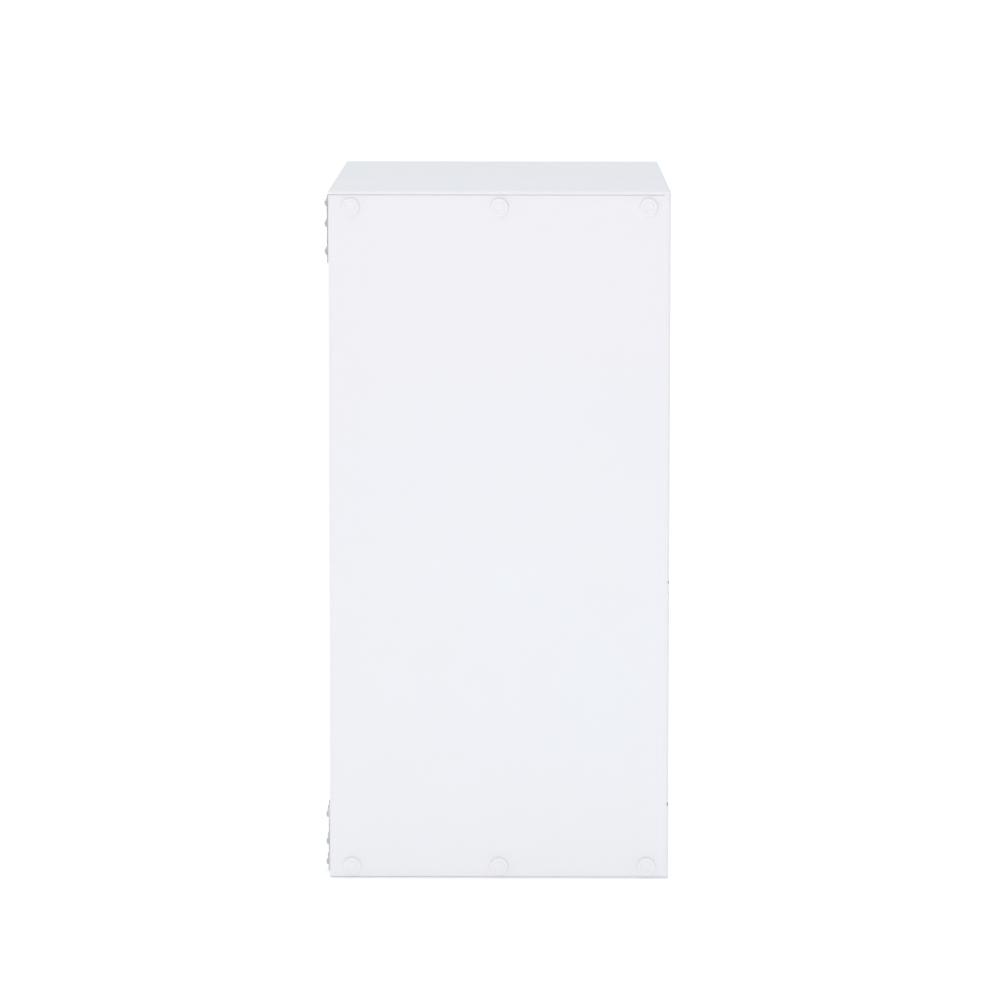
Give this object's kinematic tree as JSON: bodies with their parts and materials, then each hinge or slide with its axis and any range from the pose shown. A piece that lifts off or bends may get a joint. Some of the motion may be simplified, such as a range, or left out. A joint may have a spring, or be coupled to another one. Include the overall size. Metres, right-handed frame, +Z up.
{
  "type": "locker cabinet",
  "caption": "Low steel locker cabinet with flat white sides, one hinged door with a recessed pull and cam lock, and a shelf.",
  "frame": {"origin": "on the floor, under the centre of the bounding box of the closed cabinet", "axes": "+Z up, -Y out of the door, +X towards the hinge side"},
  "size_m": [0.4838, 0.299, 0.6],
  "materials": {
    "white_enamel": "satin white enamel",
    "inner_white": "satin white enamel, thinner inside",
    "bolt_white": "semi-gloss white enamel",
    "hinge_nickel": "nickel-plated, dull",
    "zinc_plate": "bright zinc plate",
    "chrome_plate": "polished",
    "grey_rubber": "matt",
    "black_plastic": "matt moulded"
  },
  "bodies": {
    "cabinet": {"side_panel_right": "white_enamel", "side_panel_left": "white_enamel", "top_panel": "white_enamel", "bottom_panel": "white_enamel", "back_panel": "inner_white", "shelf": "inner_white", "shelf_ledge_right": "inner_white", "shelf_ledge_left": "inner_white", "bolt_right_1": "bolt_white", "bolt_right_2": "bolt_white", "bolt_right_3": "bolt_white", "bolt_right_4": "bolt_white", "bolt_right_5": "bolt_white", "bolt_right_6": "bolt_white", "bolt_left_1": "bolt_white", "bolt_left_2": "bolt_white", "bolt_left_3": "bolt_white", "bolt_left_4": "bolt_white", "bolt_left_5": "bolt_white", "bolt_left_6": "bolt_white", "hinge_frame_leaf_top": "hinge_nickel", "hinge_frame_leaf_bottom": "hinge_nickel", "hinge_pin_top": "zinc_plate", "hinge_pin_bottom": "zinc_plate", "frame_screw_top_1": "zinc_plate", "frame_screw_top_2": "zinc_plate", "frame_screw_top_3": "zinc_plate", "frame_screw_bottom_1": "zinc_plate", "frame_screw_bottom_2": "zinc_plate", "frame_screw_bottom_3": "zinc_plate", "back_screw_1": "zinc_plate", "back_screw_2": "zinc_plate", "back_screw_3": "zinc_plate", "back_screw_4": "zinc_plate", "catch_magnet": "black_plastic", "bumper_left": "grey_rubber", "bumper_right": "grey_rubber"},
    "door": {"door_panel": "white_enamel", "door_stiffener": "inner_white", "pull_pocket": "inner_white", "lock_barrel": "chrome_plate", "lock_nut": "zinc_plate", "catch_plate": "zinc_plate", "hinge_door_leaf_top": "hinge_nickel", "hinge_door_leaf_bottom": "hinge_nickel", "door_screw_top_1": "zinc_plate", "door_screw_top_2": "zinc_plate", "door_screw_top_3": "zinc_plate", "door_screw_bottom_1": "zinc_plate", "door_screw_bottom_2": "zinc_plate", "door_screw_bottom_3": "zinc_plate"},
    "lock_core": {"lock_plug": "chrome_plate", "lock_cam": "zinc_plate", "cam_screw": "zinc_plate"}
  },
  "joints": [
    {"name": "door_hinge", "type": "hinge", "parent": "cabinet", "child": "door", "pos_m": [0.2053, -0.14525, 0.3], "axis": [0, 0, 1], "range_deg": [0, 110]},
    {"name": "lock_turn", "type": "hinge", "parent": "door", "child": "lock_core", "pos_m": [-0.1705, -0.12555, 0.328], "axis": [0, 1, 0], "range_deg": [0, 90]}
  ]
}
